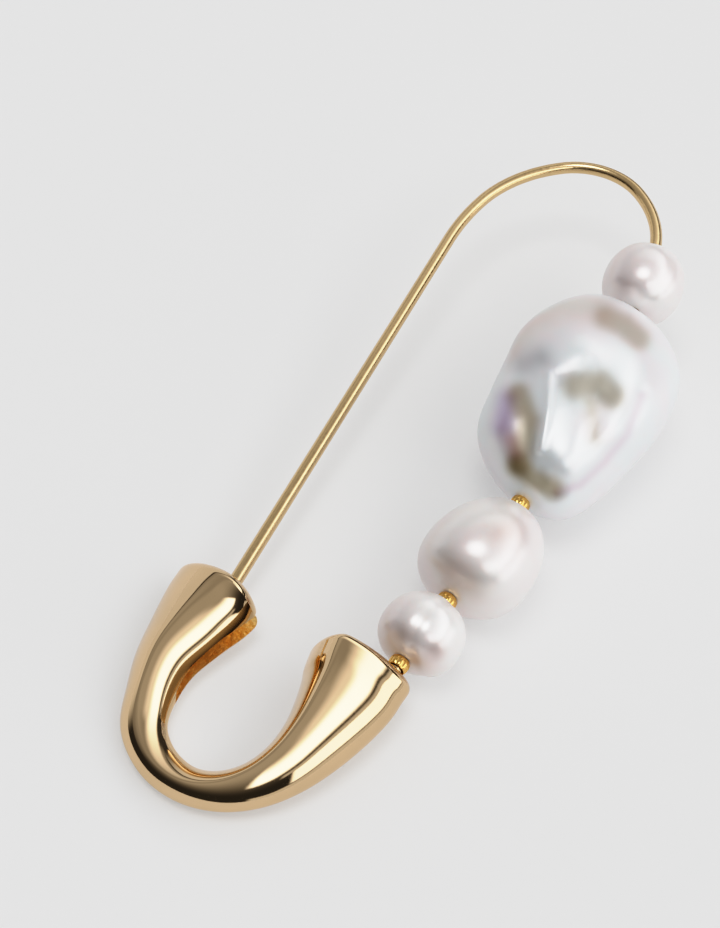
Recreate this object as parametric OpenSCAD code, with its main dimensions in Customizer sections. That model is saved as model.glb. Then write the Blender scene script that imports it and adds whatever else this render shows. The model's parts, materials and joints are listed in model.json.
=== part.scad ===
// Safety-pin brooch: a cast U-shaped clasp and a bent wire that carries four drilled pearls.
// Each piece is drawn flat, with the clasp's mirror line on Y and the wire's plane at z = 0,
// and then laid down as the brooch rests on a table, on the clasp's back edge and the big pearl.

/* [Wire] */
// Thickness of the wire
wire_d = 1.0; // [0.9:0.05:1.0]
// Length of the straight stem, from the end of the bend to the tip
stem_len = 43.75; // [43.2:0.05:44.2]
// Length of the tapered point at the end of the stem
point_len = 5.3; // [5.1:0.1:6]
// Angle at which the stem dips from the wire's plane into the hood
stem_dip = 0.56; // [0.54:0.01:0.58]
// Air between the two halves of the wire at the top of the bend
split_gap = 0.12; // [0.1:0.01:0.2]

/* [Clasp] */
// Distance from the wire's plane down to the flat back of the clasp
back_depth = 1.6; // [1.55:0.05:1.7]
// Rounding of the arm ends
end_r = 0.8; // [0.75:0.05:0.85]
// Thickness of the hood's back plate
plate = 0.72; // [0.68:0.02:0.74]
// Height of the slot on the hood's inner side
slot_h = 1.3; // [1.25:0.05:1.35]
// Diameter of the hollow inside the hood
hollow_d = 1.7; // [1.6:0.05:1.7]

/* [Pearls] */
// Length of the small pearl along the wire
small_len = 5.4; // [5.2:0.05:5.4]
// Width of the small pearl across the wire
small_w = 6.05; // [5.8:0.05:6.4]
// Length of the middle pearl along the wire
middle_len = 9.36; // [9.2:0.02:9.36]
// Width of the middle pearl across the wire
middle_w = 8.45; // [8.3:0.05:8.6]
// Length of the top pearl along the wire
top_len = 6.8; // [6.5:0.05:6.8]
// Width of the top pearl across the wire
top_w = 6.5; // [6.3:0.05:6.8]
// Depth of the baroque pearl's upper half, seen from its front
baroque_upper = 6.8; // [6.4:0.1:7]
// Depth of the baroque pearl's lower half, seen from its front
baroque_lower = 7.3; // [6.8:0.1:7.3]
// Diameter of the drilled holes
hole_d = 1.16; // [1.12:0.02:1.2]

/* [Spacers] */
// Diameter of a spacer bead over its ribs
spacer_d = 1.5; // [1.45:0.05:1.6]
// Length of a spacer bead along the wire
spacer_len = 0.78; // [0.7:0.02:0.78]
// Number of ribs round a spacer bead
ribs = 9; // [7:1:11]

/* [Hidden] */
$fn = 48;

// How the brooch lies: turned about its length, tipped along it, then moved to stand on z = 0
rest_roll = -3.45;
rest_pitch = 4.98;
rest_move = [-3.101, -31.686, 1.869];

// Clasp: one row for each section, from the hood's end round the bend to the other arm's end,
// with the centre of the section across and along, its half width, its height over the back, and
// how far its peak leans to the inner side, and the power of its inner flank
row_x = 0;
row_y = 1;
row_half = 2;
row_high = 3;
row_lean = 4;
row_power = 5;
clasp_rows = [
    [-5.53, 12.25, 3.72, 4.42, 1.19, 0.85],
    [-5.57, 10.90, 3.55, 4.02, 0.56, 1.08],
    [-5.68, 8.78, 2.98, 3.70, 0.07, 1.30],
    [-5.68, 6.11, 2.33, 3.40, -0.19, 1.36],
    [-5.12, 3.57, 1.86, 2.88, -0.32, 1.36],
    [-4.38, 1.50, 1.67, 2.30, -0.28, 1.36],
    [-3.11, 0.10, 1.52, 2.00, -0.35, 1.36],
    [-1.25, -0.90, 1.44, 1.97, -0.45, 1.36],
    [0.94, -1.17, 1.38, 2.13, -0.40, 1.36],
    [3.06, -0.45, 1.50, 2.42, -0.14, 1.36],
    [4.76, 1.04, 1.71, 2.86, 0.18, 1.36],
    [5.86, 3.03, 2.02, 3.42, 0.42, 1.36],
    [6.43, 5.26, 2.45, 4.02, 0.62, 1.36],
    [6.62, 7.47, 2.97, 4.40, 0.83, 1.36],
    [6.58, 9.55, 3.45, 4.57, 0.99, 1.36],
    [6.38, 10.90, 3.68, 4.60, 1.09, 1.36],
    [6.29, 11.68, 3.77, 4.59, 1.17, 1.36]
];
steps_per_row = 4;

// The hood's end is cut askew, further back on its inner side. This fades over the first rows
hood_slant = 0.165;
slant_rows = 2;
cap_steps = 3;

// Section of the clasp: flat back, rounded lower edges and a domed crown
edge_w = 0.57;
edge_h = 0.78;
outer_power = 1.36;
edge_steps = 3;
crown_steps = 8;

// String: the points where the wire changes direction, from inside the clasp to the bend
string_points = [[8.35, 10.80], [9.40, 29.60], [8.55, 51.15], [7.25, 58.05]];
kink_r = 4;
heading = [for (i = [0:2]) let(d = string_points[i + 1] - string_points[i]) atan2(d.y, d.x)];
stretch = [for (i = [0:2]) norm(string_points[i + 1] - string_points[i])];
kink = [heading[1] - heading[0], heading[2] - heading[1]];
tangent = [for (k = kink) kink_r * tan(k / 2)];

// Bend: radius and turn of the arcs that lead from the string over the top to the stem
shoulder = [10.2, 45];
crest = [5.8, 74];
flank = [11.6, 41];
run_out = [21.5, 14.15];
rise_turn = 180 - heading[2] - shoulder[1];
split_turn = split_gap / 2 / crest[0] * 180 / PI;
turn_step = 6;
wire_sides = 16;

// Stem: it starts where the bend ends, and its point is drawn out in two tapers. The bent wire is
// a hair thinner, so that its end sinks into the stem
stem_sink = 0.8;
stem_step = 0.006;
waist_share = 0.62;
waist_d = 0.6;
blunt_d = 0.16;

// Places of the pieces, measured along the straight stretch of wire that they sit on
lower_spacer_at = 2.46;
small_at = 5.56;
middle_spacer_at = 8.64;
middle_at = 13.74;
top_at = 3.68;

// Baroque pearl: the outline seen from its front, one row for each direction with its radius,
// and the three directions in which the outline and the depth are drawn
baroque_rows = [
    [0.0, 8.55],
    [22.5, 8.35],
    [45.0, 7.90],
    [67.5, 6.85],
    [90.0, 6.20],
    [112.5, 6.15],
    [135.0, 7.05],
    [157.5, 8.60],
    [180.0, 8.70],
    [202.5, 8.35],
    [225.0, 7.85],
    [247.5, 6.80],
    [270.0, 6.60],
    [292.5, 7.35],
    [315.0, 8.00],
    [337.5, 8.65]
];
baroque_centre = [9.0, 40.6, 0];
long_way = [0.02, 1.12, 0.21];
side_way = [0.96, 0.03, -0.27];
deep_way = [0.23, -0.63, 0.74];

// Round pearls are a little fuller than an ellipsoid, and a little shallower than they are wide.
// The widest place of two of them is moved down the wire by this much
pearl_power = 0.9;
pearl_depth = 0.98;
small_low = 0.2;
middle_low = 0.6;
pearl_rings = 14;
pearl_sides = 24;
baroque_rings = 20;
baroque_sides = 40;

// Hood: where the hollow runs, and the outline of the slot from above and from the side. The slot
// is drawn past the arm's end and past its inner side
hollow_x = -4.66;
hollow_y = 7.9;
hollow_z = -0.03;
hood_past = 8;
bore_clear = 0.1;
slot_top = -back_depth + plate + slot_h;
slot_past = 15;
slot_wide = 7;
slot_plan = [
    [-0.5, slot_past],
    [-5.6, slot_past],
    [-5.2, 7.6],
    [-4.9, 5.6],
    [-4.3, 4.2],
    [-3.6, 3.7],
    [-0.5, 3.5]
];
slot_side = [
    [slot_past, -back_depth + plate],
    [slot_past, slot_top],
    [11.8, slot_top],
    [10.4, slot_top - 0.12],
    [8.8, slot_top - 0.25],
    [6.5, slot_top - 0.45],
    [4.2, slot_top - 0.72],
    [3.5, -back_depth + plate]
];
seat_extra = 0.5;
seat_gap = 0.05;

// Smooth curve through the rows of a table, and its direction, at t rows from the first
function row_at(rows, i) =
    i < 0 ? 2 * rows[0] - rows[1]
    : i >= len(rows) ? 2 * rows[len(rows) - 1] - rows[len(rows) - 2]
    : rows[i];
function four_rows(rows, t) =
    let(i = min(floor(t), len(rows) - 2))
    [t - i, row_at(rows, i - 1), row_at(rows, i), row_at(rows, i + 1), row_at(rows, i + 2)];
function curve_at(rows, t) =
    let(f = four_rows(rows, t), u = f[0], a = f[1], b = f[2], c = f[3], d = f[4])
    b + u / 2 * ((c - a) + u * ((2 * a - 5 * b + 4 * c - d) + u * (3 * b - 3 * c + d - a)));
function slope_at(rows, t) =
    let(f = four_rows(rows, t), u = f[0], a = f[1], b = f[2], c = f[3], d = f[4])
    (c - a) + 2 * u * (2 * a - 5 * b + 4 * c - d) + 3 * u * u * (3 * b - 3 * c + d - a);
function unit(v) = v / norm(v);

// One side of the clasp's section from the back up to the crown, then the whole section, eased
function half_section(side, half, high, lean, power) = concat(
    [for (i = [0:edge_steps]) let(a = 90 * i / edge_steps)
        [side * (half - edge_w + edge_w * sin(a)), edge_h - edge_h * cos(a)]],
    [for (i = [1:crown_steps]) let(a = 90 * i / crown_steps)
        [lean + (side * half - lean) * pow(cos(a), power),
         edge_h + (high - edge_h) * pow(sin(a), power)]]
);
function eased(points) =
    let(last = len(points) - 1)
    [for (i = [0:last]) i == 0 || i == last
        ? points[i]
        : (points[i - 1] + 2 * points[i] + points[i + 1]) / 4];
function section(half, high, lean, power) =
    let(inner = half_section(1, half, high, lean, power))
    let(outer = half_section(-1, half, high, lean, outer_power))
    eased(concat(outer, [for (i = [len(inner) - 2:-1:0]) inner[i]]));

// One ring of the clasp, shrunk and pushed along the arm where it rounds an arm's end
function clasp_ring(t, turn) =
    let(row = curve_at(clasp_rows, t))
    let(slope = slope_at(clasp_rows, t))
    let(way = unit([slope[row_x], slope[row_y]]))
    let(shrink = 1 - end_r * (1 - cos(turn)) / row[row_half])
    let(slant = hood_slant * pow(max(0, 1 - t / slant_rows), 2))
    [for (p = section(row[row_half], row[row_high], row[row_lean], row[row_power]))
        let(push = end_r * sin(turn) + slant * p.x * shrink)
        [row[row_x] - way.y * p.x * shrink + way.x * push,
         row[row_y] + way.x * p.x * shrink + way.y * push,
         p.y * shrink - back_depth]];
function clasp_rings() =
    let(last = len(clasp_rows) - 1)
    concat(
        [for (i = [cap_steps:-1:1]) clasp_ring(0, -90 * i / cap_steps)],
        [for (i = [0:last * steps_per_row]) clasp_ring(i / steps_per_row, 0)],
        [for (i = [1:cap_steps]) clasp_ring(last, 90 * i / cap_steps)]
    );

function mean(points) = [for (p = points) 1] * points / len(points);
function flat_list(lists) = [for (a = lists) for (b = a) b];

// Closed skin over a row of rings, with a point at each end. Looking the way the rows run, each
// ring goes round against the clock
module skin(rings, first, last) {
    n = len(rings[0]);
    m = len(rings);
    points = concat([first], flat_list(rings), [last]);
    end = len(points) - 1;
    polyhedron(points, concat(
        [for (j = [0:n - 1]) [0, 1 + (j + 1) % n, 1 + j]],
        [for (i = [0:m - 2]) for (j = [0:n - 1])
            [1 + i * n + j, 1 + i * n + (j + 1) % n, 1 + (i + 1) * n + j]],
        [for (i = [0:m - 2]) for (j = [0:n - 1])
            [1 + i * n + (j + 1) % n, 1 + (i + 1) * n + (j + 1) % n, 1 + (i + 1) * n + j]],
        [for (j = [0:n - 1]) [end, 1 + (m - 1) * n + j, 1 + (m - 1) * n + (j + 1) % n]]
    ));
}

// A point of the wire is [place, way it runs, dip under the plane]; these are points round an arc
function arc_end(at, way, arc) =
    at + arc[0] * [sin(way + arc[1]) - sin(way), cos(way) - cos(way + arc[1])];
function arc_points(at, way, arc, first = 0) =
    let(n = ceil(arc[1] / turn_step))
    [for (i = [first:n]) let(turn = arc[1] * i / n)
        let(p = arc_end(at, way, [arc[0], turn])) [[p.x, p.y, 0], way + turn, 0]];
function kink_points(i) =
    let(start = string_points[i + 1] - tangent[i] * [cos(heading[i]), sin(heading[i])])
    arc_points(start, heading[i], [kink_r, kink[i]]);
function wire_ring(point) =
    let(way = point[1], dip = point[2])
    let(left = [-sin(way), cos(way), 0], up = [sin(dip) * cos(way), sin(dip) * sin(way), cos(dip)])
    [for (i = [0:wire_sides - 1]) let(a = 360 * i / wire_sides)
        point[0] + (wire_d / 2 - stem_step) * (sin(a) * up - cos(a) * left)];

// Where the arcs of the bend end, one after the other, and the way the wire runs there
shoulder_end = arc_end(string_points[3], heading[2], shoulder);
crest_end = arc_end(shoulder_end, heading[2] + shoulder[1], crest);
flank_way = heading[2] + shoulder[1] + crest[1];
flank_end = arc_end(crest_end, flank_way, flank);
stem_start = arc_end(flank_end, flank_way + flank[1], run_out);
stem_way = flank_way + flank[1] + run_out[1];

module swept_wire(points) {
    rings = [for (p = points) wire_ring(p)];
    skin(rings, points[0][0], points[len(points) - 1][0]);
}

// Puts a piece drawn along Z onto a stretch of the string
module on_string(i, distance) {
    translate([string_points[i].x, string_points[i].y, 0]) rotate([0, 0, heading[i]])
        translate([distance, 0, 0]) rotate([0, 90, 0]) children();
}

module laid() {
    translate(rest_move) rotate([rest_pitch, 0, 0]) rotate([0, rest_roll, 0]) children();
}

// Hollow of the hood round the stem's point, with the slot through which the stem springs out
module hood_space() {
    translate([hollow_x, hollow_y, hollow_z]) rotate([-90, 0, stem_way - 270])
        cylinder(h = hood_past, d = hollow_d);
    intersection() {
        translate([0, 0, -back_depth]) linear_extrude(2 * back_depth) polygon(slot_plan);
        translate([-slot_wide, 0, 0]) rotate([90, 0, 90])
            linear_extrude(slot_wide) polygon(slot_side);
    }
}

module clasp() {
    rings = clasp_rings();
    color("gold") laid() difference() {
        skin(rings, mean(rings[0]), mean(rings[len(rings) - 1]));
        hood_space();
        on_string(0, -bore_clear) cylinder(h = hood_past, d = wire_d + bore_clear);
    }
}

module wire() {
    start = string_points[0];
    color("gold") laid() swept_wire(concat(
        [[[start.x, start.y, 0], heading[0], 0]],
        kink_points(0),
        kink_points(1),
        arc_points(string_points[3], heading[2], shoulder),
        arc_points(shoulder_end, heading[2] + shoulder[1], [crest[0], rise_turn - split_turn], 1)
    ));
}

module stem() {
    waist_at = point_len * waist_share;
    shank = stem_len - point_len;
    rotate([0, 90, 0]) {
        cylinder(h = shank, d = wire_d);
        translate([0, 0, shank]) cylinder(h = waist_at, d1 = wire_d, d2 = waist_d);
        translate([0, 0, shank + waist_at])
            cylinder(h = point_len - waist_at, d1 = waist_d, d2 = blunt_d);
    }
}

module pin() {
    crest_start = arc_end(shoulder_end, heading[2] + shoulder[1], [crest[0], rise_turn + split_turn]);
    sunk = stem_sink * [cos(stem_way), sin(stem_way), -sin(stem_dip)];
    color("gold") laid() {
        swept_wire(concat(
            arc_points(crest_start, 180 + split_turn, [crest[0], crest[1] - rise_turn - split_turn]),
            arc_points(crest_end, flank_way, flank, 1),
            arc_points(flank_end, flank_way + flank[1], run_out, 1),
            [[[stem_start.x, stem_start.y, 0] + sunk, stem_way, stem_dip]]
        ));
        translate([stem_start.x, stem_start.y, 0])
            rotate([0, stem_dip, stem_way]) stem();
    }
}

// Drilled pearl along Z, a little fuller than an ellipsoid
module pearl(length, width, depth, low = 0) {
    function at(lat, lon) = let(ring = pow(cos(lat), pearl_power)) [
        depth / 2 * ring * cos(lon),
        -width / 2 * ring * sin(lon),
        length / 2 * sign(lat) * pow(abs(sin(lat)), pearl_power) - low * pow(cos(lat), 2)
    ];
    difference() {
        skin(
            [for (i = [1:pearl_rings - 1]) [for (j = [0:pearl_sides - 1])
                at(180 * i / pearl_rings - 90, 360 * j / pearl_sides)]],
            [0, 0, -length / 2],
            [0, 0, length / 2]
        );
        translate([0, 0, -length]) cylinder(h = 2 * length, d = hole_d);
    }
}

module small_pearl() {
    color("linen") laid() on_string(0, small_at) pearl(small_len, small_w, small_w * pearl_depth, small_low);
}

module middle_pearl() {
    color("linen") laid() on_string(0, middle_at)
        pearl(middle_len, middle_w, middle_w * pearl_depth, middle_low);
}

module top_pearl() {
    color("linen") laid() on_string(2, top_at) pearl(top_len, top_w, top_w * pearl_depth);
}

module baroque_pearl() {
    n = len(baroque_rows);
    wrapped = [for (i = [-1:n + 1]) [baroque_rows[(i + n) % n][1]]];
    function radius(angle) = curve_at(wrapped, 1 + angle * n / 360)[0];
    function at(lat, lon) =
        baroque_centre
        + radius(lon) * cos(lat) * (cos(lon) * long_way + sin(lon) * side_way)
        + (lat > 0 ? baroque_upper : baroque_lower) * sin(lat) * deep_way;
    color("linen") laid() difference() {
        skin(
            [for (i = [1:baroque_rings - 1]) [for (j = [0:baroque_sides - 1])
                at(180 * i / baroque_rings - 90, 360 * j / baroque_sides)]],
            baroque_centre - baroque_lower * deep_way,
            baroque_centre + baroque_upper * deep_way
        );
        on_string(1, -1) cylinder(h = stretch[1] + 2, d = hole_d);
        on_string(1, -1) cylinder(h = 1 + spacer_len / 2 + seat_gap, d = spacer_d + seat_extra);
    }
}

// Ribbed bead along Z
module spacer() {
    bevel = 0.1;
    groove_d = 0.4;
    groove_out = 0.13;
    outer = spacer_d / 2;
    inner = wire_d / 2 + bore_clear;
    high = spacer_len / 2;
    difference() {
        rotate_extrude() polygon([
            [inner, -high],
            [outer - bevel, -high],
            [outer, bevel - high],
            [outer, high - bevel],
            [outer - bevel, high],
            [inner, high]
        ]);
        for (i = [0:ribs - 1])
            rotate([0, 0, 360 * i / ribs]) translate([outer + groove_out, 0, -spacer_len])
                cylinder(h = 2 * spacer_len, d = groove_d);
    }
}

module lower_spacer() {
    color("goldenrod") laid() on_string(0, lower_spacer_at) spacer();
}

module middle_spacer() {
    color("goldenrod") laid() on_string(0, middle_spacer_at) spacer();
}

// This bead sits on the wire's first kink, turned halfway between the two stretches
module upper_spacer() {
    color("goldenrod") laid() on_string(1, 0) rotate([kink[0] / 2, 0, 0]) spacer();
}

clasp();
wire();
pin();
small_pearl();
middle_pearl();
baroque_pearl();
top_pearl();
lower_spacer();
middle_spacer();
upper_spacer();
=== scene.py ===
import json
from math import atan2, ceil, cos, degrees, exp, hypot, pi, radians, sin, tan
import bmesh
import bpy
from mathutils import Matrix, Vector

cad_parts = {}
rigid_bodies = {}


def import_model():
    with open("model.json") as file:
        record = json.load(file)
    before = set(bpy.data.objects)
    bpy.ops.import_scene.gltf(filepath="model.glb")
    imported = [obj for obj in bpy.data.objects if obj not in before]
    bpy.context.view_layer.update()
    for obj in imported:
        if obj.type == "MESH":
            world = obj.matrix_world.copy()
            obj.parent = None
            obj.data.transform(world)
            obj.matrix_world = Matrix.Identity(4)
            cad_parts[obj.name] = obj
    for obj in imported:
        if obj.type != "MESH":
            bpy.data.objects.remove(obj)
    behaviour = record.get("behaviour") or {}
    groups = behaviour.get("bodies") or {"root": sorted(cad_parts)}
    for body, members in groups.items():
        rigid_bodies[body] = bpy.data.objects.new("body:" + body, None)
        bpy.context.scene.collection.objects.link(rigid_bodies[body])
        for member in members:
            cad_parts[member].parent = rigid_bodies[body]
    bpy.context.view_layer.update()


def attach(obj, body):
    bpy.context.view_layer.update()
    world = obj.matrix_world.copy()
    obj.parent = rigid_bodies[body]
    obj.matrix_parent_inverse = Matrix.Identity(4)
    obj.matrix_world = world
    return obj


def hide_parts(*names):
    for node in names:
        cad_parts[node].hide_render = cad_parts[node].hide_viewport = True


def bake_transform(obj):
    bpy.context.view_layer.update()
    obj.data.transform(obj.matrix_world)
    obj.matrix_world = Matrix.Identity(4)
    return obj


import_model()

# the brooch is drawn flat in millimetres, with the wire in the plane z = 0, and then laid on the table
lay = {"roll": -3.45, "pitch": 4.98, "move": (-3.101, -31.686, 1.869), "mm": 0.001}
laid = (Matrix.Scale(lay["mm"], 4) @ Matrix.Translation(lay["move"])
        @ Matrix.Rotation(radians(lay["pitch"]), 4, "X") @ Matrix.Rotation(radians(lay["roll"]), 4, "Y"))


# turns a bmesh in flat millimetres into a piece in the row frame; edges bent more than sharpOver stay sharp
def finishPiece(mesh, name, materials, body, replaced, sharpOver=35):
    bmesh.ops.transform(mesh, matrix=laid, verts=mesh.verts)
    for face in mesh.faces:
        face.smooth = True
    for edge in mesh.edges:
        if edge.is_manifold and edge.calc_face_angle(0) > radians(sharpOver):
            edge.smooth = False
    data = bpy.data.meshes.new(name)
    mesh.to_mesh(data)
    mesh.free()
    for material in materials:
        data.materials.append(material)
    piece = bpy.data.objects.new(name, data)
    bpy.context.scene.collection.objects.link(piece)
    if body:  # the wire has none
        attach(piece, body)
    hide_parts(*replaced)
    return piece


def nextRing(mesh, ring, places):  # extrudes a ring of points to its next places
    edges = list(dict.fromkeys(e for v in ring for e in v.link_edges if e.other_vert(v) in ring))
    made = bmesh.ops.extrude_edge_only(mesh, edges=edges)["geom"]
    fresh = {v for v in made if isinstance(v, bmesh.types.BMVert)}
    following = []
    for vert, place in zip(ring, places):
        new = next(e.other_vert(vert) for e in vert.link_edges if e.other_vert(vert) in fresh)
        new.co = place
        following.append(new)
    return following


def loft(rings):  # a tube through rings of points, closed with a fan at each end
    mesh = bmesh.new()
    ring = bmesh.ops.create_circle(mesh, segments=len(rings[0]), radius=1)["verts"]
    for vert, place in zip(ring, rings[0]):
        vert.co = place
    for places in rings[1:]:
        ring = nextRing(mesh, ring, places)
    caps = bmesh.ops.holes_fill(mesh, edges=[e for e in mesh.edges if e.is_boundary])["faces"]
    bmesh.ops.poke(mesh, faces=caps)
    bmesh.ops.recalc_face_normals(mesh, faces=mesh.faces)
    return mesh


def cutObject(mesh, name, materials):  # an object that only takes part in a cut
    data = bpy.data.meshes.new(name)
    mesh.to_mesh(data)
    mesh.free()
    for material in materials:
        data.materials.append(material)
    thing = bpy.data.objects.new(name, data)
    bpy.context.scene.collection.objects.link(thing)
    return thing


# takes the cutters out of a solid; the walls that they leave get its second material
def cutAway(mesh, cutters, materials):
    body = cutObject(mesh, "body", materials)
    tools = []
    for cutter in cutters:
        for face in cutter.faces:
            face.material_index = 1
        tool = cutObject(cutter, "tool", materials)
        tools.append(tool)
        step = body.modifiers.new("cut", "BOOLEAN")
        step.operation, step.solver, step.object = "DIFFERENCE", "EXACT", tool
    bpy.context.view_layer.update()
    carved = bmesh.new()
    carved.from_object(body, bpy.context.evaluated_depsgraph_get())
    for used in [body, *tools]:
        bpy.data.objects.remove(used)
    bmesh.ops.remove_doubles(carved, verts=carved.verts, dist=0.0005)  # half a micrometre
    bmesh.ops.delete(carved, geom=[e for e in carved.edges if e.is_wire], context="EDGES")
    bmesh.ops.triangulate(carved, faces=[f for f in carved.faces if len(f.verts) > 4], ngon_method="BEAUTY")
    return carved


# smooth curve through the rows of a table, with perRow steps from each row to the next
def rowCurve(rows, perRow, rounds):
    count = len(rows)
    width = len(rows[0])

    def row(i):
        if i < 0:
            return [2 * a - b for a, b in zip(rows[0], rows[1])]
        if i >= count:
            return [2 * a - b for a, b in zip(rows[-1], rows[-2])]
        return rows[i]

    line = []
    for step in range((count - 1) * perRow + 1):
        i = min(step // perRow, count - 2)
        u = step / perRow - i
        a, b, c, d = (row(i + k) for k in (-1, 0, 1, 2))
        line.append([b[k] + u / 2 * ((c[k] - a[k]) + u * ((2 * a[k] - 5 * b[k] + 4 * c[k] - d[k])
                                                          + u * (3 * b[k] - 3 * c[k] + d[k] - a[k])))
                     for k in range(width)])
    for _ in range(rounds):  # evens out the bends between the rows, so that reflections run smoothly
        line = [line[0]] + [[(p[k] + 2 * q[k] + r[k]) / 4 for k in range(width)]
                            for p, q, r in zip(line, line[1:], line[2:])] + [line[-1]]
    return line


def newMaterial(name):
    material = bpy.data.materials.new(name)
    material.use_nodes = True
    tree = material.node_tree
    shader = tree.nodes["Principled BSDF"]
    return material, tree, shader


# a new node: its inputs get a value or a link, by name or number
def node(tree, kind, inputs=None, **settings):
    made = tree.nodes.new(kind)
    for key, value in settings.items():
        setattr(made, key, value)
    for key, value in (inputs or {}).items():
        if isinstance(value, bpy.types.NodeSocket):
            tree.links.new(value, made.inputs[key])
        else:
            made.inputs[key].default_value = value
    return made


def maths(tree, what, a, b=0.0):
    return node(tree, "ShaderNodeMath", {0: a, 1: b}, operation=what).outputs[0]


def soften(tree, value, low, high, start=0.0, end=1.0):  # smooth step from low to high
    return node(tree, "ShaderNodeMapRange", {"Value": value, "From Min": low, "From Max": high,
                "To Min": start, "To Max": end}, interpolation_type="SMOOTHSTEP").outputs["Result"]


def mixColour(tree, factor, a, b, blend="MIX"):
    made = node(tree, "ShaderNodeMix", {0: factor}, data_type="RGBA", blend_type=blend)
    for index, value in ((6, a), (7, b)):  # the two colour inputs
        if isinstance(value, bpy.types.NodeSocket):
            tree.links.new(value, made.inputs[index])
        else:
            made.inputs[index].default_value = (*value, 1)
    return made.outputs[2]


# clouds and grain, shared by the golds and the nacres: two values between 0 and 1
def cloudGroup():
    group = bpy.data.node_groups.new("cloudsAndGrain", "ShaderNodeTree")
    group.interface.new_socket(name="Place", in_out="INPUT", socket_type="NodeSocketVector")
    group.interface.new_socket(name="Cloud Scale", in_out="INPUT", socket_type="NodeSocketFloat")
    group.interface.new_socket(name="Grain Scale", in_out="INPUT", socket_type="NodeSocketFloat")
    group.interface.new_socket(name="Cloud", in_out="OUTPUT", socket_type="NodeSocketFloat")
    group.interface.new_socket(name="Grain", in_out="OUTPUT", socket_type="NodeSocketFloat")
    given = node(group, "NodeGroupInput").outputs
    cloud = node(group, "ShaderNodeTexNoise",
                 {"Vector": given["Place"], "Scale": given["Cloud Scale"], "Detail": 2.0})
    grain = node(group, "ShaderNodeTexNoise",
                 {"Vector": given["Place"], "Scale": given["Grain Scale"], "Detail": 3.0})
    node(group, "NodeGroupOutput", {"Cloud": soften(group, cloud.outputs["Fac"], 0.36, 0.64),
                                    "Grain": grain.outputs["Fac"]})
    return group


clouds = cloudGroup()


# the grain lies mostly between 0.3 and 0.7, and spreads the roughness from smooth to rough
def grainRoughness(tree, shader, grain, smooth, rough):
    spread = node(tree, "ShaderNodeMapRange", {"Value": grain, "From Min": 0.3, "From Max": 0.7,
                                               "To Min": smooth, "To Max": rough})
    tree.links.new(spread.outputs["Result"], shader.inputs["Roughness"])


# each gold: colour, roughness and what the grain adds to it, fineness and height of the grain, painted glow
golds = {
    "polishedGold": {"colour": (0.76, 0.555, 0.335), "smooth": 0.04, "grain": 0.03, "fineness": 5200.0,
                     "bump": 0.004, "glow": 0.0},
    # castGold glows faintly inside the hood: painted light for the light bounced between its walls
    "castGold": {"colour": (0.95, 0.63, 0.24), "smooth": 0.26, "grain": 0.2, "fineness": 2600.0,
                 "bump": 0.9, "glow": 0.035},
    "wireGold": {"colour": (0.73, 0.53, 0.29), "smooth": 0.15, "grain": 0.12, "fineness": 3800.0,
                 "bump": 0.03, "glow": 0.0},
    "beadGold": {"colour": (0.82, 0.50, 0.16), "smooth": 0.10, "grain": 0.10, "fineness": 3000.0,
                 "bump": 0.05, "glow": 0.0},
}
goldClouds = {"scale": 260.0, "darker": 0.955, "bumpDeep": 0.0001}


def goldMaterial(name):
    gold = golds[name]
    material, tree, shader = newMaterial(name)
    place = node(tree, "ShaderNodeTexCoord").outputs["Object"]
    noise = node(tree, "ShaderNodeGroup", {"Place": place, "Cloud Scale": goldClouds["scale"],
                                           "Grain Scale": gold["fineness"]}, node_tree=clouds).outputs
    shade = mixColour(tree, noise["Cloud"], gold["colour"], tuple(c * goldClouds["darker"] for c in gold["colour"]))
    tree.links.new(shade, shader.inputs["Base Color"])
    grainRoughness(tree, shader, noise["Grain"], gold["smooth"], gold["smooth"] + gold["grain"])
    shader.inputs["Metallic"].default_value = 1.0
    if gold["glow"]:  # painted light: a glow for the light that goes on from wall to wall inside the hood
        shader.inputs["Emission Color"].default_value = (*gold["colour"], 1.0)
        shader.inputs["Emission Strength"].default_value = gold["glow"]
    bump = node(tree, "ShaderNodeBump", {"Height": noise["Grain"], "Strength": gold["bump"],
                                         "Distance": goldClouds["bumpDeep"]})
    tree.links.new(bump.outputs["Normal"], shader.inputs["Normal"])
    return material


polishedGold, castGold, wireGold, beadGold = (goldMaterial(name) for name in golds)

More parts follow.
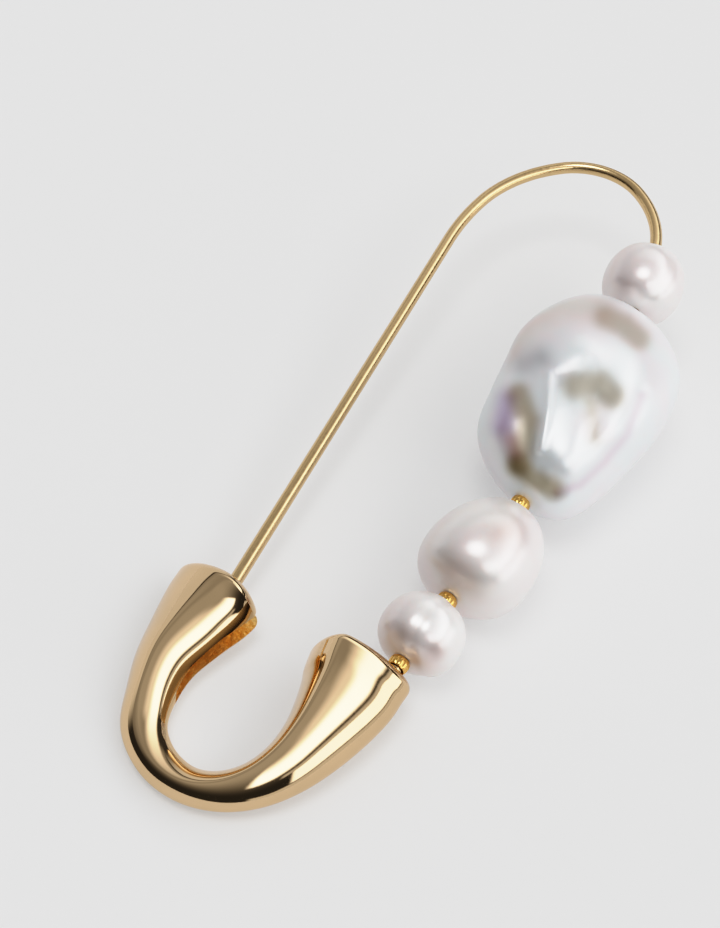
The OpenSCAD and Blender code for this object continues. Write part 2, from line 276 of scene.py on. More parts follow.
clasp = {
    # cross sections from the hood's end round to the right arm's end: centre across and along, half width,
    # height, lean of the peak towards the inside of the U, power of the inner flank
    "rows": [
        (-5.53, 12.25, 3.72, 4.42, 1.19, 0.85), (-5.57, 10.90, 3.55, 4.02, 0.56, 1.08),
        (-5.68, 8.78, 2.98, 3.70, 0.07, 1.30), (-5.68, 6.11, 2.33, 3.40, -0.19, 1.36),
        (-5.12, 3.57, 1.86, 2.88, -0.32, 1.36), (-4.38, 1.50, 1.67, 2.30, -0.28, 1.36),
        (-3.11, 0.10, 1.52, 2.00, -0.35, 1.36), (-1.25, -0.90, 1.44, 1.97, -0.45, 1.36),
        (0.94, -1.17, 1.38, 2.13, -0.40, 1.36), (3.06, -0.45, 1.50, 2.42, -0.14, 1.36),
        (4.76, 1.04, 1.71, 2.86, 0.18, 1.36), (5.86, 3.03, 2.02, 3.42, 0.42, 1.36),
        (6.43, 5.26, 2.45, 4.02, 0.62, 1.36), (6.62, 7.47, 2.97, 4.40, 0.83, 1.36),
        (6.58, 9.55, 3.45, 4.57, 0.99, 1.36), (6.38, 10.90, 3.68, 4.60, 1.09, 1.36),
        (6.29, 11.68, 3.77, 4.59, 1.17, 1.36)],
    "perRow": 12, "evenRounds": 14, "back": 1.6,  # back is how far the flat back lies under the wire's middle
    "edgeWide": 0.57, "edgeHigh": 0.78, "outerPower": 1.36, "edgeSteps": 6, "crownSteps": 40, "easeRounds": 24,
    "backParts": 6, "endRound": 0.8, "endSteps": 9,
    "slant": 0.165, "slantRows": 2.0,  # the hood's end is askew, and this fades over the first rows
    "hollow": {"at": (-4.66, 7.9, -0.03), "wide": 1.7, "past": 8.0, "turn": 4.82, "sides": 48},
    "slot": {"wide": 7.0,
             "plan": [(-5.6, 15.0), (-5.2, 7.6), (-4.9, 5.6), (-4.3, 4.2), (-3.6, 3.7), (-0.5, 3.5)],
             # the floor lies a hair lower than the hollow's, so that the two don't just touch
             "side": [(15.0, -0.89), (15.0, 0.42), (11.8, 0.42), (10.4, 0.30), (8.8, 0.17), (6.5, -0.03),
                      (4.2, -0.30), (3.5, -0.89)]},
    "bore": {"wide": 1.1, "past": 8.0, "sides": 32, "before": 0.1},
}


# one ring of the clasp; turn runs from -90 to 90 degrees over the rounding of an end
def claspRing(row, way, turn, slant):
    x, y, half, high, lean, innerPower = row
    shrink = 1 - clasp["endRound"] * (1 - cos(turn)) / half
    push = clasp["endRound"] * sin(turn)
    flatHalf = half - clasp["edgeWide"]
    rise = high - clasp["edgeHigh"]

    def side(sign, power):  # lower edge and crown of one side, from the back up to the peak
        points = []
        for k in range(clasp["edgeSteps"]):
            a = pi / 2 * k / clasp["edgeSteps"]
            points.append((sign * (flatHalf + clasp["edgeWide"] * sin(a)), clasp["edgeHigh"] * (1 - cos(a))))
        for k in range(clasp["crownSteps"] + 1):
            a = pi / 2 * k / clasp["crownSteps"]
            points.append((lean + (sign * half - lean) * max(cos(a), 0) ** power,
                           clasp["edgeHigh"] + rise * sin(a) ** power))
        return points

    outline = side(1, innerPower) + side(-1, clasp["outerPower"])[-2::-1]
    for _ in range(clasp["easeRounds"]):
        outline = [outline[0]] + [tuple((a + 2 * b + c) / 4 for a, b, c in zip(p, q, r))
                                  for p, q, r in zip(outline, outline[1:], outline[2:])] + [outline[-1]]
    parts = clasp["backParts"]
    outline += [(-flatHalf + flatHalf * k / (parts // 2), 0.0) for k in range(1, parts)]
    return [(x - way[1] * px * shrink + way[0] * (push + slant * px * shrink),
             y + way[0] * px * shrink + way[1] * (push + slant * px * shrink),
             pz * shrink - clasp["back"]) for px, pz in outline]


def claspSolid():
    line = rowCurve(clasp["rows"], clasp["perRow"], clasp["evenRounds"])
    ways = []
    for i in range(len(line)):
        before, after = line[max(i - 1, 0)], line[min(i + 1, len(line) - 1)]
        length = hypot(after[0] - before[0], after[1] - before[1])
        ways.append(((after[0] - before[0]) / length, (after[1] - before[1]) / length))
    steps = clasp["endSteps"]
    slants = [clasp["slant"] * max(0.0, 1 - i / clasp["perRow"] / clasp["slantRows"]) ** 2
              for i in range(len(line))]
    rings = [claspRing(line[0], ways[0], -pi / 2 * i / steps, slants[0]) for i in range(steps, 0, -1)]
    rings += [claspRing(row, way, 0, slant) for row, way, slant in zip(line, ways, slants)]
    rings += [claspRing(line[-1], ways[-1], pi / 2 * i / steps, slants[-1]) for i in range(1, steps + 1)]
    return loft(rings)


def drilling(tool, place):  # a round cutter that starts at the place and runs on past the metal
    mesh = bmesh.new()
    bmesh.ops.create_cone(mesh, cap_ends=True, segments=tool["sides"], radius1=tool["wide"] / 2,
                          radius2=tool["wide"] / 2, depth=tool["past"])
    bmesh.ops.transform(mesh, verts=mesh.verts, matrix=place @ Matrix.Translation((0, 0, tool["past"] / 2)))
    return mesh


def hoodHollow():
    hollow = clasp["hollow"]
    return drilling(hollow, Matrix.Translation(hollow["at"]) @ Matrix.Rotation(radians(hollow["turn"]), 4, "Z")
                    @ Matrix.Rotation(-pi / 2, 4, "X"))


def hoodSlot():  # the slot's outline from the side, drawn across and trimmed to its outline from above
    slot = clasp["slot"]
    mesh = bmesh.new()
    outline = mesh.faces.new([mesh.verts.new((0, y, z)) for y, z in slot["side"]])
    drawn = bmesh.ops.extrude_face_region(mesh, geom=[outline])["geom"]
    bmesh.ops.translate(mesh, verts=[g for g in drawn if isinstance(g, bmesh.types.BMVert)],
                        vec=(-slot["wide"], 0, 0))
    bmesh.ops.recalc_face_normals(mesh, faces=mesh.faces)
    for a, b in zip(slot["plan"], slot["plan"][1:]):
        bmesh.ops.bisect_plane(mesh, geom=mesh.verts[:] + mesh.edges[:] + mesh.faces[:],
                               plane_co=(a[0], a[1], 0), plane_no=(b[1] - a[1], a[0] - b[0], 0), clear_outer=True)
        bmesh.ops.holes_fill(mesh, edges=[e for e in mesh.edges if e.is_boundary])
    bmesh.ops.recalc_face_normals(mesh, faces=mesh.faces)
    return mesh


def onString(stretch, distance):  # place of a piece drawn along Z on a straight stretch of the wire
    a, b = Vector(wire["string"][stretch]), Vector(wire["string"][stretch + 1])
    heading = atan2(b.y - a.y, b.x - a.x)
    return (Matrix.Translation((a.x, a.y, 0)) @ Matrix.Rotation(heading, 4, "Z")
            @ Matrix.Translation((distance, 0, 0)) @ Matrix.Rotation(pi / 2, 4, "Y"))


def wireBore():
    return drilling(clasp["bore"], onString(0, -clasp["bore"]["before"]))


# the wire runs from inside the right arm round the bend to the point in the hood
wire = {
    "string": [(8.35, 10.80), (9.40, 29.60), (8.55, 51.15), (7.25, 58.05)],  # corners of the side with the pearls
    "kinkRound": 4.0,
    "bends": [(10.2, 45.0), (5.8, 74.0), (11.6, 41.0), (21.5, 14.15)],  # radius and turn of each arc
    "wide": 1.0, "sides": 28, "turnStep": 2.5, "straightStep": 1.2,
    "dip": 0.56, "long": 43.75,  # the stem, which dips to the point by this angle
    "pointLong": 5.3, "waistShare": 0.62, "waist": 0.6, "blunt": 0.16,
    "flexFrom": (2.2, 65.0, 0.0), "flexTo": (-2.8, 65.0, 0.0),  # where the bend gives way when it is opened
}


def wireSolid():
    mesh = bmesh.new()
    points = [Vector((x, y, 0)) for x, y in wire["string"]]
    headings = [atan2(b.y - a.y, b.x - a.x) for a, b in zip(points, points[1:])]
    start = (Matrix.Translation(points[0]) @ Matrix.Rotation(headings[0], 4, "Z")
             @ Matrix.Rotation(pi / 2, 4, "Y"))
    ring = bmesh.ops.create_circle(mesh, segments=wire["sides"], radius=wire["wide"] / 2, matrix=start)["verts"]
    state = {"at": points[0].copy(), "way": headings[0], "dip": 0.0,
             "ring": ring + list(dict.fromkeys(e for v in ring for e in v.link_edges))}

    def straight(length, narrowTo=None):
        steps = max(1, ceil(length / wire["straightStep"]))
        level = cos(state["dip"])
        ahead = Vector((level * cos(state["way"]), level * sin(state["way"]), -sin(state["dip"])))
        wideNow = (state["ring"][0].co - state["at"]).length * 2
        for i in range(steps):
            edges = [g for g in state["ring"] if isinstance(g, bmesh.types.BMEdge)]
            made = bmesh.ops.extrude_edge_only(mesh, edges=edges)["geom"]
            verts = [g for g in made if isinstance(g, bmesh.types.BMVert)]
            kept = set(verts)
            bmesh.ops.translate(mesh, verts=verts, vec=ahead * length / steps)
            state["at"] = state["at"] + ahead * length / steps
            if narrowTo:
                after = wideNow + (narrowTo - wideNow) * (i + 1) / steps
                before = wideNow + (narrowTo - wideNow) * i / steps
                bmesh.ops.scale(mesh, verts=verts, vec=[after / before] * 3,
                                space=Matrix.Translation(-state["at"]))
            state["ring"] = verts + [g for g in made if isinstance(g, bmesh.types.BMEdge)
                                     and g.verts[0] in kept and g.verts[1] in kept]

    def bend(radius, turn):
        centre = state["at"] + radius * Vector((-sin(state["way"]), cos(state["way"]), 0))
        steps = max(1, ceil(degrees(turn) / wire["turnStep"]))
        made = bmesh.ops.spin(mesh, geom=state["ring"], cent=centre, axis=(0, 0, 1), dvec=(0, 0, 0),
                              angle=turn, steps=steps, use_duplicate=False)["geom_last"]
        state["ring"] = [g for g in made if not isinstance(g, bmesh.types.BMFace)]
        state["way"] += turn
        state["at"] = centre + radius * Vector((sin(state["way"]), -cos(state["way"]), 0))

    for i in (0, 1):
        kink = headings[i + 1] - headings[i]
        straight((points[i + 1] - state["at"]).length - wire["kinkRound"] * tan(kink / 2))
        bend(wire["kinkRound"], kink)
    straight((points[3] - state["at"]).length)
    for radius, turn in wire["bends"]:
        bend(radius, radians(turn))
    state["dip"] = radians(wire["dip"])
    across = Vector((-sin(state["way"]), cos(state["way"]), 0))
    bmesh.ops.rotate(mesh, verts=[g for g in state["ring"] if isinstance(g, bmesh.types.BMVert)],
                     cent=state["at"], matrix=Matrix.Rotation(state["dip"], 3, across))
    straight(wire["long"] - wire["pointLong"])
    straight(wire["pointLong"] * wire["waistShare"], narrowTo=wire["waist"])
    straight(wire["pointLong"] * (1 - wire["waistShare"]), narrowTo=wire["blunt"])
    bmesh.ops.holes_fill(mesh, edges=[e for e in mesh.edges if e.is_boundary])
    bmesh.ops.recalc_face_normals(mesh, faces=mesh.faces)
    print("wire: tip at", [round(x, 2) for x in state["at"]])
    return mesh


claspGolds = [polishedGold, castGold]  # outside and inside
claspMesh = cutAway(claspSolid(), [hoodHollow(), hoodSlot(), wireBore()], claspGolds)
finishPiece(claspMesh, "claspCasting", claspGolds, "brooch", ["clasp"])
print("clasp ready")
wirePiece = finishPiece(wireSolid(), "bentWire", [wireGold], None, ["wire", "pin"])
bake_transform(wirePiece)
print("wire ready")


# nacre: a white body with a blurred mirror in it, tinted in wide clouds, with each pearl's own tints and painted
# shade and reflections multiplied in
nacres = {  # colour, colour of the clouds, share and roughness of the mirror, weight of the coat
    "roundNacre": {"tint": (0.86, 0.835, 0.82), "blush": (0.86, 0.79, 0.785), "mirror": 0.30, "rough": 0.30,
                   "coat": 0.18},
    "baroqueNacre": {"tint": (0.82, 0.86, 0.88), "blush": (0.86, 0.83, 0.86), "mirror": 0.33, "rough": 0.37,
                     "coat": 0.12},
}
nacreBody = {"cloudScale": 210.0, "grainScale": 1500.0, "spread": 0.02, "subsurface": 0.35,
             "radius": (1.0, 0.7, 0.6), "depth": 0.001, "coatRough": 0.2}


def nacreMaterial(name):
    nacre = nacres[name]
    material, tree, shader = newMaterial(name)
    place = node(tree, "ShaderNodeTexCoord").outputs["Object"]
    noise = node(tree, "ShaderNodeGroup", {"Place": place, "Cloud Scale": nacreBody["cloudScale"],
                                           "Grain Scale": nacreBody["grainScale"]}, node_tree=clouds).outputs
    shade = mixColour(tree, noise["Cloud"], nacre["tint"], nacre["blush"])
    # the nacre's own tints and the painted shade and reflections, stored per point on each pearl
    tintAndPaintedReflection = node(tree, "ShaderNodeAttribute", attribute_name="tintAndPaintedReflection").outputs["Color"]
    tree.links.new(mixColour(tree, 1.0, shade, tintAndPaintedReflection, blend="MULTIPLY"), shader.inputs["Base Color"])
    spread = nacreBody["spread"]
    grainRoughness(tree, shader, noise["Grain"], nacre["rough"] - spread, nacre["rough"] + spread)
    for socket, value in (("Metallic", nacre["mirror"]), ("Subsurface Weight", nacreBody["subsurface"]),
                          ("Subsurface Radius", nacreBody["radius"]), ("Subsurface Scale", nacreBody["depth"]),
                          ("Coat Weight", nacre["coat"]), ("Coat Roughness", nacreBody["coatRough"])):
        shader.inputs[socket].default_value = value
    return material


roundNacre, baroqueNacre = (nacreMaterial(name) for name in nacres)
hole = {"wide": 1.16, "keep": 0.5}  # width of the bore, and how near the pole a point is cleared away


def signedPower(value, power):
    return (abs(value) ** power) * (1 if value > 0 else -1)


def drill(mesh, axisPoint, axisWay, keep):  # opens both poles round the wire and joins them with a bore
    def off(v):
        return (v.co - axisPoint).cross(axisWay).length
    bmesh.ops.delete(mesh, geom=[v for v in mesh.verts if off(v) < keep], context="VERTS")
    rim = [e for e in mesh.edges if e.is_boundary]
    for v in {v for e in rim for v in e.verts}:
        along = (v.co - axisPoint).dot(axisWay)
        centre = axisPoint + along * axisWay
        v.co = centre + (v.co - centre).normalized() * hole["wide"] / 2
    bmesh.ops.bridge_loops(mesh, edges=rim)


# on: stretch of the wire and distance along it; low: how far the girdle sits towards the clasp
# painted reflections: direction, reach and colour of patches painted where the nacre reflects the dark room and its
# neighbours; crease: a shallow groove along a circle; flats: direction, start, depth
roundPearls = {
    "small_pearl": {
        "long": 5.4, "wide": 6.05, "low": 0.2, "on": (0, 5.56),
        "tintsAndPaintedReflections": [((-0.45, 0.03, 0.9), 0.30, (0.72, 0.66, 0.63)), ((0.25, -0.30, 0.92), 0.26, (0.70, 0.63, 0.61)),
                   ((-0.25, -0.62, 0.75), 0.28, (0.86, 0.77, 0.68))],
        "crease": {"axis": (0.97, -0.12, 0.20), "at": 0.319, "wide": 0.13, "deep": 0.028}, "flats": []},
    "middle_pearl": {
        "long": 9.36, "wide": 8.45, "low": 0.6, "on": (0, 13.74),
        "tintsAndPaintedReflections": [((-0.55, -0.12, 0.82), 0.30, (0.76, 0.68, 0.63)), ((-0.25, -0.36, 0.90), 0.30, (0.74, 0.67, 0.62)),
                   ((0.40, 0.50, 0.77), 0.34, (0.86, 0.79, 0.76))],
        "crease": None, "flats": [((-0.82, 0.24, 0.52), 0.35, 0.035), ((-0.40, 0.66, 0.64), 0.0, 0.09)]},
    "top_pearl": {
        "long": 6.8, "wide": 6.5, "low": 0.0, "on": (2, 3.68),
        "tintsAndPaintedReflections": [((-0.52, -0.12, 0.84), 0.34, (0.80, 0.73, 0.72))],
        "crease": {"axis": (-0.23, -0.17, 0.96), "at": 0.60, "wide": 0.16, "deep": 0.02}, "flats": []},
}
pearlMesh = {"around": 128, "rings": 96, "power": 0.9, "oval": 0.49}  # a power under 1 makes the pearl fuller

# directions of the camera's right, up and towards the viewer, in flat millimetres, for placing the painted
# reflections
facing = Matrix(((0.859, -0.392, 0.328), (0.511, 0.659, -0.551), (0.0, 0.641, 0.767)))


# moves a colour towards a tint by a share, for the nacre's own tints and for painted shade and reflections
def towardsTint(colour, share, tint):
    return [c * (1 + share * (t - 1)) for c, t in zip(colour, tint)]


def pearlSolid(pearl):
    mesh = bmesh.new()
    place = onString(*pearl["on"])
    tintAndPaintedReflection = mesh.verts.layers.float_color.new("tintAndPaintedReflection")
    bmesh.ops.create_uvsphere(mesh, u_segments=pearlMesh["around"], v_segments=pearlMesh["rings"], radius=1)
    for v in mesh.verts:
        x, y, z = v.co
        way = (place.to_3x3() @ v.co).normalized()
        ring = hypot(x, y)
        full = ring ** pearlMesh["power"] / ring if ring > 1e-6 else 0
        dent = 0.0
        if pearl["crease"]:
            crease = pearl["crease"]
            off = way.dot(Vector(crease["axis"]).normalized()) - crease["at"]
            dent += crease["deep"] * exp(-(off / crease["wide"]) ** 2)
        for flatWay, start, deep in pearl["flats"]:
            dent += deep * (max(0.0, way.dot(Vector(flatWay).normalized()) - start) / (1 - start)) ** 2
        colour = [1.0, 1.0, 1.0]
        # painted reflections: darker and warmer patches where the nacre reflects the dark room and its neighbours
        for spot, wide, tint in pearl["tintsAndPaintedReflections"]:
            share = exp(-(way.angle((facing @ Vector(spot)).normalized(), 0.0) / wide) ** 2)
            colour = towardsTint(colour, share, tint)
        v[tintAndPaintedReflection] = (*colour, 1.0)
        v.co = (pearl["wide"] * pearlMesh["oval"] * x * full * (1 - dent),
                pearl["wide"] / 2 * y * full * (1 - dent),
                pearl["long"] / 2 * signedPower(z, pearlMesh["power"]) * (1 - dent) - pearl["low"] * ring * ring)
    drill(mesh, Vector((0, 0, 0)), Vector((0, 0, 1)), hole["keep"])
    bmesh.ops.transform(mesh, matrix=place, verts=mesh.verts)
    bmesh.ops.recalc_face_normals(mesh, faces=mesh.faces)
    return mesh


for name, pearl in roundPearls.items():
    finishPiece(pearlSolid(pearl), name.replace("_p", "P"), [roundNacre], "brooch", [name])
print("round pearls ready")

baroque = {
    # half widths of the outline, all the way round from the side of the top pearl
    "radii": [8.55, 8.35, 7.90, 6.85, 6.20, 6.15, 7.05, 8.60, 8.70, 8.35, 7.85, 6.80, 6.60, 7.35, 8.00, 8.65],
    "perRadius": 24, "evenRounds": 6,
    "centre": (9.0, 40.6, 0.0), "longWay": (0.02, 1.12, 0.21), "sideWay": (0.96, 0.03, -0.27),
    "deepWay": (0.23, -0.63, 0.74), "upper": 6.8, "lower": 7.3, "around": 256, "rings": 176,
    "frontFade": 0.35,  # the relief, the tints and the painted shade fade out towards the outline over this share of the depth
    # lumps and hollows of the front: places to the side and along, reach across and along, height
    "lumps": [((-2.1, 3.9), (2.1, 1.7), 0.50), ((1.8, 4.9), (1.5, 2.0), 0.30), ((0.5, 1.4), (1.6, 1.2), -0.45),
              ((1.3, -3.8), (2.0, 2.1), 0.42), ((3.1, -0.5), (1.2, 1.3), 0.30), ((1.8, -1.2), (0.6, 1.2), -0.18),
              ((-4.2, -3.5), (1.2, 2.0), 0.14), ((-0.4, 7.0), (1.7, 1.0), -0.20)],
    # folds: points that each runs through, reach to its sides, height
    "folds": [([(-4.6, -0.5), (-2.4, -3.3), (-1.1, -5.0), (1.3, -6.0)], 1.0, -0.30),
              ([(-3.0, 0.7), (-1.8, -1.4), (-1.4, -2.4), (-0.8, -4.2)], 0.36, 0.21),
              ([(-5.3, 1.4), (-2.8, 0.8)], 0.7, -0.16),
              ([(-2.3, 1.0), (-0.9, 3.0)], 0.5, -0.10),
              ([(3.6, 3.1), (4.1, -0.1), (3.7, -2.7), (3.0, -5.0), (1.8, -6.4)], 0.55, -0.14)],
    # tints and painted shade: points, reach to the sides, how softly they end, colour
    # the brown, taupe and grey patches in the hollows and folds are painted shade and reflection; the purple, pink
    # and pale warm ones are the nacre's own tints
    "tintsAndPaintedReflections": [([(-0.9, 1.0), (0.5, 2.0), (1.7, 1.7)], 1.15, 3.0, (0.52, 0.46, 0.38)),
               ([(0.7, 0.4), (2.2, -1.6)], 0.65, 2.0, (0.74, 0.71, 0.64)),
               ([(-4.2, -1.7), (-2.6, -2.9), (-1.9, -4.9), (-1.5, -5.9)], 0.95, 3.0, (0.57, 0.50, 0.38)),
               ([(-1.5, -6.0), (-0.3, -6.3), (1.4, -6.2)], 0.90, 3.0, (0.55, 0.47, 0.35)),
               ([(-4.7, -2.5), (-4.0, -4.1)], 0.95, 2.2, (0.68, 0.56, 0.72)),
               ([(-2.9, -4.8), (-2.2, -5.4)], 0.70, 2.0, (0.84, 0.64, 0.66)),
               ([(-5.2, 0.5), (-4.2, 1.4)], 1.0, 2.0, (0.72, 0.71, 0.72)),
               ([(-1.6, 6.6), (-0.2, 6.8), (1.2, 6.5)], 1.05, 3.0, (0.69, 0.61, 0.52)),
               ([(-6.9, 1.3), (-6.3, 3.5), (-5.0, 5.5), (-2.8, 6.9)], 1.5, 2.0, (0.90, 0.81, 0.76)),
               ([(3.6, 2.8), (4.1, -0.1), (3.7, -2.7), (3.0, -5.0), (1.9, -6.2)], 0.42, 2.0, (0.90, 0.80, 0.84))],
}


def offLine(point, line):  # how far a point is from a row of joined points
    nearest = 1e9
    for a, b in zip(line, line[1:]):
        a, b = Vector(a), Vector(b)
        share = min(max((point - a).dot(b - a) / (b - a).length_squared, 0), 1)
        nearest = min(nearest, (point - a - share * (b - a)).length)
    return nearest


def baroqueSolid():
    radii = baroque["radii"]
    count = len(radii)
    wrapped = [(radii[i % count],) for i in range(-1, count + 2)]
    line = [r[0] for r in rowCurve(wrapped, baroque["perRadius"], baroque["evenRounds"])]

    def radius(angle):
        t = (1 + (angle / (2 * pi)) % 1 * count) * baroque["perRadius"]
        i = int(t)
        return line[i] + (line[i + 1] - line[i]) * (t - i)

    centre, longWay, sideWay, deepWay = (Vector(baroque[k]) for k in ("centre", "longWay", "sideWay", "deepWay"))
    mesh = bmesh.new()
    bmesh.ops.create_uvsphere(mesh, u_segments=baroque["around"], v_segments=baroque["rings"], radius=1)
    tintAndPaintedReflection = mesh.verts.layers.float_color.new("tintAndPaintedReflection")
    for v in mesh.verts:
        x, y, z = v.co
        reach = radius(atan2(y, x))
        spot = Vector((reach * y, reach * x))  # to the side and along, as seen from the front
        relief = 0.0
        colour = [1.0, 1.0, 1.0]
        front = min(max(z / baroque["frontFade"], 0), 1)
        if front > 0:
            for at, wide, high in baroque["lumps"]:
                relief += high * exp(-((spot.x - at[0]) / wide[0]) ** 2 - ((spot.y - at[1]) / wide[1]) ** 2)
            for path, wide, high in baroque["folds"]:
                relief += high * exp(-(offLine(spot, path) / wide) ** 2)
            # tints and painted shade on the front
            for path, wide, soft, tint in baroque["tintsAndPaintedReflections"]:
                colour = towardsTint(colour, front * exp(-(offLine(spot, path) / wide) ** soft), tint)
        v[tintAndPaintedReflection] = (*colour, 1.0)
        v.co = (centre + reach * (x * longWay + y * sideWay)
                + ((baroque["upper"] if z > 0 else baroque["lower"]) * z + relief * front) * deepWay)
    mesh.normal_update()  # the three axes mirror the ball, so its faces have to turn outwards again
    bmesh.ops.recalc_face_normals(mesh, faces=mesh.faces)
    return mesh


finishPiece(baroqueSolid(), "baroquePearl", [baroqueNacre], "brooch", ["baroque_pearl"])
print("baroque pearl ready")

spacer = {"wide": 1.5, "long": 0.78, "bore": 1.2, "ribs": 9, "flute": 0.07, "fluteSharp": 1.2, "sides": 108,
          "shoulder": [(0.86, 1.0), (0.94, 0.82), (0.99, 0.4)],  # shares of the half width and the half length
          # stretch of the wire, distance along it, share of the turn to the next stretch
          "places": {"lower_spacer": (0, 2.46, 0.0), "middle_spacer": (0, 8.64, 0.0), "upper_spacer": (1, 0.0, 0.5)}}


def spacerSolid(place):
    half, outer, inner = spacer["long"] / 2, spacer["wide"] / 2, spacer["bore"] / 2
    rising = [(outer * wide, half * high) for wide, high in spacer["shoulder"]]
    profile = [(inner, -half), *[(r, -z) for r, z in rising], (outer, 0), *rising[::-1], (inner, half)]
    mesh = bmesh.new()
    verts = [mesh.verts.new((r, 0, z)) for r, z in profile]
    edges = [mesh.edges.new((a, b)) for a, b in zip(verts, verts[1:] + verts[:1])]
    bmesh.ops.spin(mesh, geom=verts + edges, cent=(0, 0, 0), axis=(0, 0, 1), dvec=(0, 0, 0), angle=2 * pi,
                   steps=spacer["sides"], use_merge=True)
    for v in mesh.verts:
        reach = hypot(v.co.x, v.co.y)
        rib = abs(cos(spacer["ribs"] / 2 * atan2(v.co.y, v.co.x)))
        fade = max(0.0, (reach - inner) / (outer - inner))
        cut = 1 - spacer["flute"] * (1 - rib) ** spacer["fluteSharp"] * fade / reach
        v.co.x, v.co.y = v.co.x * cut, v.co.y * cut
    bmesh.ops.transform(mesh, matrix=place, verts=mesh.verts)
    bmesh.ops.recalc_face_normals(mesh, faces=mesh.faces)
    return mesh


for name, (stretch, distance, share) in spacer["places"].items():
    place = onString(stretch, distance)
    if share:  # this bead sits on the first kink, turned halfway between the two stretches
        a, b, c = (Vector(p) for p in wire["string"][0:3])
        kink = atan2(c.y - b.y, c.x - b.x) - atan2(b.y - a.y, b.x - a.x)
        place = place @ Matrix.Rotation(kink * share, 4, "X")
    finishPiece(spacerSolid(place), name.replace("_s", "S"), [beadGold], "brooch", [name])
print("spacer beads ready")

# pale paper that glows a little, so that the shadows on it stay light
table = {"wide": 6.0, "sides": 64, "colour": (0.46, 0.46, 0.46), "darker": 0.985, "grain": 900.0, "glow": 0.34,
         "rough": 0.85, "shine": 0.1}
floorMaterial, floorTree, floorShader = newMaterial("paper")
floorPlace = node(floorTree, "ShaderNodeTexCoord").outputs["Object"]
floorGrain = node(floorTree, "ShaderNodeTexNoise", {"Vector": floorPlace, "Scale": table["grain"], "Detail": 4.0})
floorColour = mixColour(floorTree, floorGrain.outputs["Fac"], table["colour"],
                        tuple(c * table["darker"] for c in table["colour"]))
floorTree.links.new(floorColour, floorShader.inputs["Base Color"])
floorShader.inputs["Emission Color"].default_value = (1.0, 1.0, 1.0, 1.0)
floorShader.inputs["Emission Strength"].default_value = table["glow"]
floorShader.inputs["Roughness"].default_value = table["rough"]
floorShader.inputs["Specular IOR Level"].default_value = table["shine"]
floorMesh = bmesh.new()
bmesh.ops.create_circle(floorMesh, cap_ends=True, segments=table["sides"], radius=table["wide"] / 2)
floorData = bpy.data.meshes.new("table")
floorMesh.to_mesh(floorData)
floorMesh.free()
floorData.materials.append(floorMaterial)
floor = bpy.data.objects.new("table", floorData)
bpy.context.scene.collection.objects.link(floor)

# The studio, seen from the brooch. Directions are in degrees: round from straight away from the camera to
# the right, and up. Each patch covers the ones before it: round (from, to, soft, soft), up (the same), power
studio = {
    "turn": 24.5, "camera": 0.78,  # camera is the power that the camera itself sees past the table
    "base": (14, 68, 0.04, 0.46),  # from this height to that, the power rises from here to there
    "windowPower": (-40, 95, 0.50, 2.6),  # the same round the window
    "patches": {
        "room": ((-85, 60, 15, 15), (22, 72, 2, 15), 0.35),
        "window": ((-45, 169, 25, 4), (29, 50, 2.5, 9), None),  # its power is windowPower
        "windowTop": ((60, 140, 20, 20), (50, 62, 6, 8), 1.05),
        "wall": ((-78, 8, 8, 14), (-5, 22, 1, 1), 0.74),
        "wallEdge": ((-75, 12, 6, 10), (21.5, 24.5, 0.8, 0.8), 0.08),
        "gap": ((20, 66, 8, 5), (11, 27, 3, 2), 0.06),
        "low": ((20, 78, 6, 1), (-5, 9, 1, 2), 0.70),
        "panel": ((78, 138, 2, 1.5), (6.5, 21.5, 1, 0.8), 2.0),
        "seam": ((70, 145, 4, 2), (21.5, 25, 0.6, 1.2), 0.62),
        "shelf": ((78, 165, 2, 3), (-5, 5, 1, 0.8), 0.70),
    },
    "lamp": {"way": (-0.126, -0.14, 0.98), "wide": 30.0, "power": 0.8},
}
world = bpy.data.worlds.new("studio")
bpy.context.scene.world = world
world.use_nodes = True
sky = world.node_tree
background = sky.nodes["Background"]
way = node(sky, "ShaderNodeTexCoord").outputs["Generated"]
turned = node(sky, "ShaderNodeVectorRotate", {"Vector": way, "Axis": (0, 0, 1), "Angle": radians(-studio["turn"])},
              rotation_type="AXIS_ANGLE").outputs["Vector"]
parts = node(sky, "ShaderNodeSeparateXYZ", {"Vector": turned}).outputs
roundAngle = maths(sky, "DEGREES", maths(sky, "ARCTAN2", parts["X"], parts["Y"]))
upAngle = maths(sky, "DEGREES", maths(sky, "ARCSINE", parts["Z"]))


def band(value, limits):
    low, high, softLow, softHigh = limits
    rise = soften(sky, value, low - softLow, low + softLow)
    fall = soften(sky, value, high - softHigh, high + softHigh, 1.0, 0.0)
    return maths(sky, "MULTIPLY", rise, fall)


total = soften(sky, upAngle, *studio["base"])
windowPower = soften(sky, roundAngle, *studio["windowPower"])
for across, upwards, power in studio["patches"].values():
    mask = maths(sky, "MULTIPLY", band(roundAngle, across), band(upAngle, upwards))
    total = node(sky, "ShaderNodeMix", {0: mask, 2: total, 3: windowPower if power is None else power}).outputs[0]
seen = node(sky, "ShaderNodeLightPath").outputs["Is Camera Ray"]
plain = node(sky, "ShaderNodeMix", {0: seen, 2: total, 3: studio["camera"]}).outputs[0]
sky.links.new(plain, background.inputs["Strength"])
background.inputs["Color"].default_value = (1, 1, 1, 1)

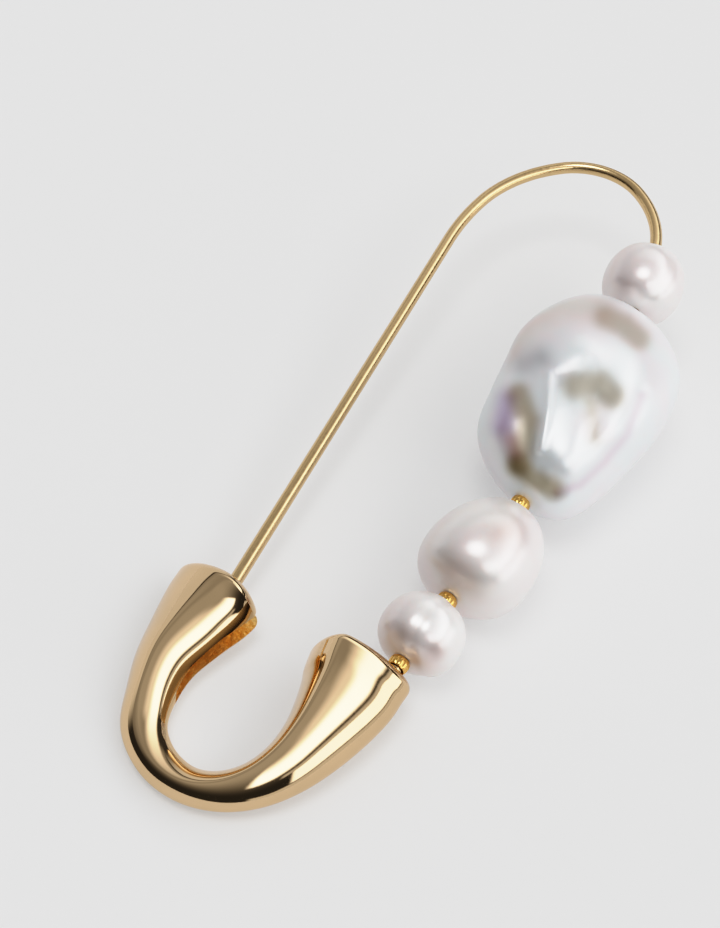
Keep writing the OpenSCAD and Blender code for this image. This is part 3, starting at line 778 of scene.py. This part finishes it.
# a lamp overhead lights the pearls, the beads, the wire and the table, but not the clasp
lampData = bpy.data.lights.new("overhead", "SUN")
lampData.angle = radians(studio["lamp"]["wide"])
lampData.energy = studio["lamp"]["power"]
lamp = bpy.data.objects.new("overhead", lampData)
bpy.context.scene.collection.objects.link(lamp)
lampWay = Matrix.Rotation(radians(studio["turn"]), 3, "Z") @ Vector(studio["lamp"]["way"])
lamp.rotation_euler = lampWay.to_track_quat("Z", "Y").to_euler()
lampLit = bpy.data.collections.new("lampLit")
for thing in bpy.context.scene.objects:
    if thing.type == "MESH" and thing.name != "claspCasting":
        lampLit.objects.link(thing)
lamp.light_linking.receiver_collection = lampLit

# the photo's camera, in flat millimetres and degrees
view = {"azimuth": 30.765, "elevation": 50.132, "roll": -1.122, "distance": 132.984,
        "target": (-2.597, 27.296, 0.0), "lens": 90.0, "sensor": 36, "near": 0.005, "far": 20}
az, el = radians(view["azimuth"]), radians(view["elevation"])
back = Vector((sin(az) * cos(el), -cos(az) * cos(el), sin(el)))
right = Vector((cos(az), sin(az), 0))
right = Matrix.Rotation(radians(view["roll"]), 3, back) @ right
eye = Vector(view["target"]) + back * view["distance"]
pose = Matrix((right, back.cross(right), back)).transposed().to_4x4()
pose.translation = eye
pose = Matrix.Translation(laid @ eye) @ (laid.to_3x3().normalized() @ pose.to_3x3()).to_4x4()
camera = bpy.data.objects.new("camera", bpy.data.cameras.new("camera"))
bpy.context.scene.collection.objects.link(camera)
camera.matrix_world = pose
camera.data.lens = view["lens"]
camera.data.sensor_width = view["sensor"]
camera.data.sensor_fit = "HORIZONTAL"
camera.data.clip_start = view["near"]
camera.data.clip_end = view["far"]
bpy.context.scene.camera = camera

# deeper darks and softer lights, like the photo's: points of the tone curve, and its end
tones = {"points": [(0.03, 0.016), (0.10, 0.078), (0.25, 0.235), (0.50, 0.50), (0.776, 0.776), (1.2, 0.92),
                    (1.8, 0.98)], "end": (3.0, 1.0), "clip": (4.0, 2.0)}
lookSettings = bpy.context.scene.view_settings
lookSettings.view_transform = "Standard"
lookSettings.use_curve_mapping = True
lookSettings.curve_mapping.clip_max_x, lookSettings.curve_mapping.clip_max_y = tones["clip"]
toneCurve = lookSettings.curve_mapping.curves[3]  # all colours together
toneCurve.points[1].location = tones["end"]
for point in tones["points"]:
    toneCurve.points.new(*point)
lookSettings.curve_mapping.update()
print("table, light and camera ready")
